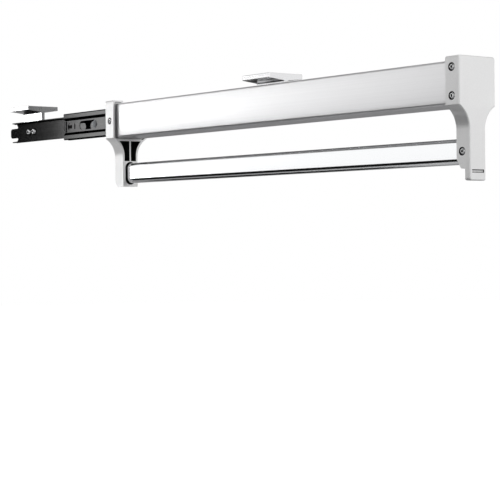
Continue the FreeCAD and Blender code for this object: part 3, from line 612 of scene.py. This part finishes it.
def screw_mesh(name, node, heads_low, steps):
    """Button headed screws with a hexagon socket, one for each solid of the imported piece."""
    boxes = solids_of(node)
    low = np.array([corners[0] for corners in boxes])
    high = np.array([corners[1] for corners in boxes])
    middle = (low + high) / 2
    outward = np.full(len(boxes), -1.0) if heads_low else np.sign(middle[:, 1])
    radius = (high[:, 0] - low[:, 0]) / 2
    height = 2 * radius * HEAD_HEIGHT_SHARE
    top = np.where(outward < 0, low[:, 1], high[:, 1])
    seat = top - outward * height
    tip = np.where(outward < 0, high[:, 1], low[:, 1])
    length = np.abs(tip - seat)
    socket = radius * SOCKET_SHARE
    depth = height * SOCKET_DEPTH_SHARE
    none = np.zeros_like(radius)
    rows = [(-length, none), (-length, radius * SHANK_SHARE), (none, radius * SHANK_SHARE)]
    rows += [(height * place, radius * size) for place, size in CROWN_SHARES]
    rows += [(height, socket * SOCKET_MOUTH_SHARE), (height * SOCKET_MOUTH_PLACE, socket),
             (height - depth, socket), (height - depth, none)]
    hex_share = [0.0] * (len(rows) - 4) + [1.0, 1.0, 1.0, 0.0]
    profiles = np.stack([np.stack(row, axis=-1) for row in rows], axis=1)
    centres = np.stack([middle[:, 0], seat, middle[:, 2]], axis=-1)
    mesh = turned_mesh(name, centres, outward, profiles, steps, hex_share)
    mesh.set_sharp_from_angle(angle=math.radians(CRISP_EDGE_DEG))
    return mesh


def darken_sockets(mesh, node, dark):
    """Paint the shade in the sockets with the dark material, because light hardly reaches into
    them: the faces that lie nearer to a screw's axis than its socket's corners do, and not under
    the head."""
    boxes = np.array(solids_of(node))
    centres = boxes.mean(axis=1)
    radius = (boxes[:, 1, 0] - boxes[:, 0, 0]) / 2
    reach = np.abs(boxes[:, 1, 1] - boxes[:, 0, 1]) / 2
    middles = np.empty(len(mesh.polygons) * 3)
    mesh.polygons.foreach_get("center", middles)
    offset = middles.reshape(-1, 1, 3) - centres[None]
    nearest = np.abs(offset).sum(axis=2).argmin(axis=1)
    picked = offset[np.arange(len(offset)), nearest]
    socket = radius[nearest] * SOCKET_SHARE * SOCKET_RIM_SHARE
    inside = np.hypot(picked[:, 0], picked[:, 2]) < socket
    off_tip = np.abs(picked[:, 1]) < reach[nearest] * TIP_SHARE
    mesh.materials.append(dark)
    mesh.polygons.foreach_set("material_index", (inside & off_tip).astype(np.int32))


def ball_mesh(name, node, steps):
    """Balls of radius r: for latitude v, distance = r * sin v along Y and radius = r * cos v."""
    boxes = solids_of(node)
    low = np.array([corners[0] for corners in boxes])
    high = np.array([corners[1] for corners in boxes])
    centres = (low + high) / 2
    radius = (high[:, 0] - low[:, 0]) / 2 / BALL_BOX_SHARE
    latitude = np.linspace(-math.pi / 2, math.pi / 2, steps // 2 + 1)
    profiles = radius[:, None, None] * np.stack([np.sin(latitude), np.cos(latitude)], axis=-1)
    return turned_mesh(name, centres, np.ones(len(boxes)), profiles, steps)


def rod_mesh(name, node, wall, steps):
    """Oval tube. Its outline is two half circles of radius r joined by flats of half length f:
    for turn t, width = r * cos t and height = r * sin t + f * sign(sin t). The sides are slightly
    crowned: width is scaled by 1 - crown * (height / (r + f)) squared. It is carried along X, and
    the rows run out along the outside, in at the end and back along the inside."""
    low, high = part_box(node)
    radius = (high.y - low.y) / 2
    flat = (high.z - low.z) / 2 - radius
    centre = ((low.y + high.y) / 2, (low.z + high.z) / 2)
    half = np.linspace(0, math.pi, steps + 1)
    turn = np.concatenate([half, half + math.pi])
    lift = np.concatenate([np.full(steps + 1, flat), np.full(steps + 1, -flat)])
    bore = radius - wall
    stations = ((low.x, radius), (high.x, radius), (high.x, bore), (low.x, bore), (low.x, radius))
    points = np.empty((len(stations), len(turn), 3))
    for row, (x, size) in enumerate(stations):
        height = size * np.sin(turn) + lift
        drawn_in = 1 - ROD_CROWN * (height / (size + flat)) ** 2
        points[row, :, 0] = x
        points[row, :, 1] = centre[0] + size * np.cos(turn) * drawn_in
        points[row, :, 2] = centre[1] + height
    mesh = welded_mesh(name, points, grid_faces(len(stations), len(turn), 1))
    mesh.set_sharp_from_angle(angle=math.radians(CRISP_EDGE_DEG))
    return mesh


class RodBrackets(bpy.types.Operator):
    """Dress the two shelf brackets"""

    bl_idname = "closet_rod.brackets"
    bl_label = "Shelf brackets"

    def execute(self, context):
        settings = context.scene.closet_rod
        metal = finish_of(bright_drawn_aluminium, settings.finish.bracket)
        for node in ("rear_bracket", "front_bracket"):
            edged_piece(node, node + "_section", metal, "fixed_frame", "bracket_aluminium",
                        settings.detail.edge_round)
        return {"FINISHED"}


class RodSlide(bpy.types.Operator):
    """Dress the three slide members"""

    bl_idname = "closet_rod.slide"
    bl_label = "Slide members"

    def execute(self, context):
        settings = context.scene.closet_rod
        coat = finish_of(
            black_chromated_steel, "black_chromated_slide_strip", settings.finish.slide)
        inner = finish_of(
            black_chromated_steel, "black_chromated_inner_strip", settings.finish.inner_slide)
        put_on("inner_member", inner)
        put_on("intermediate_member", coat)
        put_on("outer_member", coat)
        return {"FINISHED"}


class RodBalls(bpy.types.Operator):
    """Dress the ball cages and make the balls round"""

    bl_idname = "closet_rod.balls"
    bl_label = "Cages and balls"

    def execute(self, context):
        settings = context.scene.closet_rod
        cage = finish_of(plated_steel, "zinc_plated_strip", settings.finish.cage, 0.3, 0.45, 6.0)
        ball = finish_of(
            plated_steel, "polished_bearing_steel", settings.finish.ball, 0.05, 0.1, 3.0)
        for row in ("inner", "outer"):
            put_on(row + "_ball_cage", cage)
            mesh = ball_mesh(row + "_ball_row", row + "_balls", settings.detail.ball_steps)
            new_piece(row + "_ball_row", mesh, ball, row + "_cage", "ball_steel", row + "_balls")
        return {"FINISHED"}


class RodBuffers(bpy.types.Operator):
    """Dress the moulded buffers and stops"""

    bl_idname = "closet_rod.buffers"
    bl_label = "Buffers and stops"

    def execute(self, context):
        settings = context.scene.closet_rod
        black = finish_of(moulded_plastic, "black_acetal", settings.finish.buffer, 0.38, 0.55)
        grey = finish_of(moulded_plastic, "grey_acetal", settings.finish.stop, 0.3, 0.45)
        for node in ("inner_end_stop", "intermediate_bumper", "closing_buffer"):
            put_on(node, black)
        put_on("intermediate_stop", grey)
        return {"FINISHED"}


class RodHousing(bpy.types.Operator):
    """Dress the housing"""

    bl_idname = "closet_rod.housing"
    bl_label = "Housing"

    def execute(self, context):
        settings = context.scene.closet_rod
        metal = finish_of(satin_anodised_aluminium, settings.finish.extrusion)
        edged_piece("housing", "housing_extrusion", metal, "carriage", "housing_aluminium",
                    settings.detail.edge_round)
        return {"FINISHED"}


class RodCaps(bpy.types.Operator):
    """Dress the two end caps"""

    bl_idname = "closet_rod.caps"
    bl_label = "End caps"

    def execute(self, context):
        settings = context.scene.closet_rod
        lacquer = finish_of(silver_lacquered_zinc, settings.finish.casting)
        # Dark material that paints the shade in the caps' pockets, bores, seats and groove.
        core = finish_of(painted_shade_skin, settings.finish.core)
        fillers = ("housing", "hanging_rod", "cap_screws", "rod_screws")
        for node, open_way in (("rear_cap", 1), ("front_cap", -1)):
            piece = edged_piece(node, node + "_casting", lacquer, "carriage", "cap_metal",
                                settings.detail.edge_round)
            darken_cores(piece.data, core, open_way, fillers)
        return {"FINISHED"}


class RodTube(bpy.types.Operator):
    """Make the oval hanging rod"""

    bl_idname = "closet_rod.tube"
    bl_label = "Hanging rod"

    def execute(self, context):
        settings = context.scene.closet_rod
        chrome = finish_of(chromed_steel, settings.finish.chrome)
        detail = settings.detail
        mesh = rod_mesh("oval_tube", "hanging_rod", detail.rod_wall, detail.rod_steps)
        new_piece("oval_tube", mesh, chrome, "carriage", "rod_chrome", "hanging_rod")
        return {"FINISHED"}


class RodScrews(bpy.types.Operator):
    """Make the screws"""

    bl_idname = "closet_rod.screws"
    bl_label = "Screws"

    def execute(self, context):
        settings = context.scene.closet_rod
        zinc = finish_of(
            plated_steel, "bright_zinc_plated_screw_steel", settings.finish.fastener,
            0.18, 0.3, 2.0)
        # The same dark material paints the shade in the screws' sockets.
        dark = finish_of(painted_shade_skin, settings.finish.core)
        put_on("outer_member_screws", zinc)
        for node, body, heads_low in (
                ("bracket_screws", "fixed_frame", True), ("cap_screws", "carriage", False),
                ("rod_screws", "carriage", False)):
            mesh = screw_mesh(node + "_button", node, heads_low, settings.detail.turned_steps)
            new_piece(node + "_button", mesh, zinc, body, "screw_steel", node)
            darken_sockets(mesh, node, dark)
        return {"FINISHED"}


def studio_floor(settings):
    """Round paper floor. The camera sees it as white as the room, with the object's shadow on it,
    and the metal sees its plain grey, which gives the undersides their darker tone. Below the
    object a painted pool of light makes the paper lighter. A point of ring r and turn t lies at r *
    (cos t, sin t)."""
    turn = np.linspace(0, 2 * math.pi, FLOOR_STEPS, endpoint=False)
    rings = np.array(FLOOR_RINGS) * settings.floor_radius
    points = np.empty((len(rings), len(turn), 3))
    points[..., 0] = rings[:, None] * np.cos(turn)
    points[..., 1] = rings[:, None] * np.sin(turn)
    points[..., 2] = -settings.floor_drop
    mesh = bpy.data.meshes.new("studio_floor")
    quads = grid_faces(len(rings), len(turn), 1)
    mesh.from_pydata(points.reshape(-1, 3).tolist(), [], quads.tolist())
    material, tree, place = start_material("pale_studio_paper")
    fibre = noise(tree, place, 1 / (30 * MM), 4.0)
    tint = shaded(tree, settings.floor_colour, fibre, 0.98, 1.02)
    flat = add(tree, "ShaderNodeVectorMath", {"operation": "MULTIPLY"}, {
        0: place, 1: (1.0, 1.0, 0.0)})
    far = add(tree, "ShaderNodeVectorMath", {"operation": "LENGTH"}, {0: flat.outputs[0]})
    distance = far.outputs["Value"]
    # Painted pool of light: the paper is lighter near the middle, below the object.
    near = add(tree, "ShaderNodeVectorMath", {"operation": "SCALE"}, {
        0: tint, "Scale": eased(tree, distance, *PAINTED_POOL_EDGE, PAINTED_POOL_SHARE, 1.0)})
    paper = add(tree, "ShaderNodeBsdfDiffuse", inputs={"Color": near.outputs[0]})
    lift = ranged(tree, distance, *WHITE_STRENGTHS, *WHITE_EDGE)
    ray = add(tree, "ShaderNodeLightPath")
    seen = maths(tree, "MULTIPLY", lift, ray.outputs["Is Camera Ray"])
    white = add(tree, "ShaderNodeEmission", inputs={"Strength": seen})
    both = add(tree, "ShaderNodeAddShader", inputs={0: paper.outputs[0], 1: white.outputs[0]})
    close_material(material, tree, both)
    mesh.materials.append(material)
    floor = bpy.data.objects.new("studio_floor", mesh)
    bpy.context.scene.collection.objects.link(floor)


def black_cloth():
    """Cloth of the flags: cotton velvet, whose pile swallows nearly all the light."""
    material, tree, place = start_material("black_studio_velvet")
    shade = ranged(tree, noise(tree, place, 1 / (5 * MM), 2.0), 0.004, 0.008)
    cloth = add(tree, "ShaderNodeBsdfDiffuse", inputs={"Color": shade})
    return close_material(material, tree, cloth)


def black_flag(name, low, high, shades, mirrored):
    """Flat rectangle of black cloth between two corners that share one coordinate. The camera
    doesn't see it. It can shade the object, be mirrored in the metal, or both."""
    low, high = Vector(low), Vector(high)
    middle = (low + high) / 2
    if low.z == high.z:
        across = Vector((high.x - low.x, 0, 0)) / 2
    else:
        across = Vector((0, 0, high.z - low.z)) / 2
    along = Vector((0, high.y - low.y, 0)) / 2
    mesh = bpy.data.meshes.new(name)
    mesh.from_pydata([
        middle - across - along, middle + across - along, middle + across + along,
        middle - across + along], [], [(0, 1, 2, 3)])
    mesh.materials.append(finish_of(black_cloth))
    flag = bpy.data.objects.new(name, mesh)
    bpy.context.scene.collection.objects.link(flag)
    flag.visible_camera = False
    flag.visible_shadow = shades
    flag.visible_diffuse = shades
    flag.visible_glossy = mirrored


def softbox(name, place, aim, width, height, power, mirrored):
    """Rectangular lamp at a place, turned to what it lights. The camera doesn't see it."""
    lamp = bpy.data.lights.new(name, "AREA")
    lamp.shape = "RECTANGLE"
    lamp.size = width
    lamp.size_y = height
    lamp.energy = power
    holder = bpy.data.objects.new(name, lamp)
    bpy.context.scene.collection.objects.link(holder)
    holder.location = place
    holder.rotation_euler = (Vector(aim) - Vector(place)).to_track_quat("-Z", "Y").to_euler()
    holder.visible_camera = False
    holder.visible_glossy = mirrored


def bearing_zone(tree, bearing, zone):
    """1 between the two middle bearings of a zone, falling smoothly to 0 at its outer ones."""
    start, full_from, full_to, end = (math.radians(angle) for angle in zone)
    rise = eased(tree, bearing, start, full_from)
    fall = eased(tree, bearing, full_to, end, 1.0, 0.0)
    return maths(tree, "MULTIPLY", rise, fall)


def studio_room(settings):
    """White room, seen as plain white. Metal mirrors its walls: white for the most part, dark at
    both ends and dim on the photographer's side, which draws the dark lines along the rounded
    edges, with a dark curtain above them that shades the flats which look up at it."""
    world = bpy.data.worlds.new("studio_room")
    world.use_nodes = True
    tree = world.node_tree
    tree.nodes.clear()
    way = add(tree, "ShaderNodeTexCoord")
    parts = add(tree, "ShaderNodeSeparateXYZ", inputs={"Vector": way.outputs["Generated"]})
    back = maths(tree, "MULTIPLY", parts.outputs["X"], -1.0)
    side = maths(tree, "MULTIPLY", parts.outputs["Y"], -1.0)
    bearing = maths(tree, "ARCTAN2", side, back)
    below = eased(tree, parts.outputs["Z"], *WALLS_TO, 1.0, 0.0)
    band = maths(tree, "MULTIPLY", below, eased(tree, parts.outputs["Z"], *CURTAIN_FROM))
    both_ends = maths(
        tree, "ADD", bearing_zone(tree, bearing, FAR_END), bearing_zone(tree, bearing, NEAR_END))
    dark = ranged(tree, maths(tree, "MULTIPLY", both_ends, below), 1.0, settings.dark_end)
    dim = ranged(tree, bearing_zone(tree, bearing, SIDE_WALL), 1.0, settings.dim_side)
    above = ranged(tree, band, 1.0, settings.curtain)
    walls = maths(tree, "MULTIPLY", maths(tree, "MULTIPLY", dark, dim), above)
    ray = add(tree, "ShaderNodeLightPath")
    mirrored = add(tree, "ShaderNodeMix", inputs={
        "Factor": ray.outputs["Is Glossy Ray"], "A": settings.room, "B": walls})
    seen = maths(tree, "MAXIMUM", ray.outputs["Is Camera Ray"], ray.outputs["Is Transmission Ray"])
    strength = add(tree, "ShaderNodeMix", inputs={
        "Factor": seen, "A": mirrored.outputs["Result"], "B": 1.0})
    light = add(tree, "ShaderNodeBackground", inputs={
        "Color": (1.0, 1.0, 1.0, 1.0), "Strength": strength.outputs["Result"]})
    add(tree, "ShaderNodeOutputWorld", inputs={"Surface": light.outputs[0]})
    bpy.context.scene.world = world


def photo_camera():
    """Camera of the photograph, from its fitted place, angles and focal length."""
    azimuth = math.radians(CAMERA_AZIMUTH_DEG)
    elevation = math.radians(CAMERA_ELEVATION_DEG)
    roll = math.radians(CAMERA_ROLL_DEG)
    ahead = Vector((
        -math.sin(azimuth) * math.cos(elevation), math.cos(azimuth) * math.cos(elevation),
        -math.sin(elevation)))
    level = Vector((math.cos(azimuth), math.sin(azimuth), 0))
    up = level.cross(ahead)
    right = level * math.cos(roll) + up * math.sin(roll)
    up = up * math.cos(roll) - level * math.sin(roll)
    camera = bpy.data.cameras.new("photo_camera")
    camera.sensor_width = SENSOR_MM
    camera.lens = SENSOR_MM * PHOTO_FOCAL_PX / PHOTO_SIZE_PX
    camera.clip_start = 0.01
    camera.clip_end = 100
    holder = bpy.data.objects.new("photo_camera", camera)
    bpy.context.scene.collection.objects.link(holder)
    turn = Matrix((right, up, -ahead)).transposed()
    holder.matrix_world = Matrix.Translation(Vector(CAMERA_PLACE_MM) * MM) @ turn.to_4x4()
    bpy.context.scene.camera = holder


class RodStudio(bpy.types.Operator):
    """Set the floor, the room, the softboxes and the camera"""

    bl_idname = "closet_rod.studio"
    bl_label = "Studio and camera"

    def execute(self, context):
        settings = context.scene.closet_rod.stage
        studio_floor(settings)
        studio_room(settings)
        low, high = (Vector(corner) for corner in CAD_BOX)
        middle = (low + high) / 2
        for flag in FLAGS:
            black_flag(*flag)
        rear_end = (low.x, 0, low.z)
        # Name, place, aim, width and height in metres, power, and whether the metal mirrors it.
        for lamp in (
                ("side_softbox", (-5.2, -3.25, 0.42), middle, 0.3, 1.2, settings.key_power, True),
                ("top_softbox", (0.1, -0.5, 1.6), middle, 2.4, 1.2, settings.top_power, False),
                ("front_softbox", (2.6, 0.37, 0.35), middle, 0.9, 0.9, settings.front_power, True),
                ("low_fill", (-0.6, -0.6, -0.6), rear_end, 0.5, 0.5, settings.fill_power, False)):
            softbox(*lamp)
        photo_camera()
        context.scene.view_settings.view_transform = "Standard"
        return {"FINISHED"}


class RodSettings(bpy.types.PropertyGroup):
    """All the settings of the dressed closet rod."""

    finish: PointerProperty(type=RodFinish, name="Finishes", description="Colours of the finishes")
    detail: PointerProperty(type=RodDetail, name="Detail", description="Sizes that Blender adds")
    stage: PointerProperty(type=RodStage, name="Stage", description="Floor and lamps")


OPERATORS = (
    RodBrackets, RodSlide, RodBalls, RodBuffers, RodHousing, RodCaps, RodTube, RodScrews, RodStudio)


class RodPanel(bpy.types.Panel):
    """Buttons and settings of the closet rod"""

    bl_idname = "VIEW3D_PT_closet_rod"
    bl_label = "Closet rod"
    bl_space_type = "VIEW_3D"
    bl_region_type = "UI"
    bl_category = "Closet rod"

    def draw(self, context):
        column = self.layout.column()
        for operator in OPERATORS:
            column.operator(operator.bl_idname)
        settings = context.scene.closet_rod
        for group in (settings.finish, settings.detail, settings.stage):
            box = self.layout.box()
            for name in group.bl_rna.properties.keys():
                if name not in ("rna_type", "name"):
                    box.prop(group, name)


CLASSES = (RodFinish, RodDetail, RodStage, RodSettings) + OPERATORS + (RodPanel,)


def register():
    """Register the classes and give the scene its settings."""
    for item in CLASSES:
        bpy.utils.register_class(item)
    bpy.types.Scene.closet_rod = PointerProperty(type=RodSettings)


def unregister():
    """Take the settings and the classes away again."""
    del bpy.types.Scene.closet_rod
    for item in reversed(CLASSES):
        bpy.utils.unregister_class(item)


def corners(box):
    """A box's two corners as plain lists of numbers."""
    return [[float(value) for value in corner] for corner in box]


def main():
    """Dress every piece and set the studio."""
    register()
    for operator in OPERATORS:
        group, name = operator.bl_idname.split(".")
        getattr(getattr(bpy.ops, group), name)()


if __name__ == "__main__":
    main()
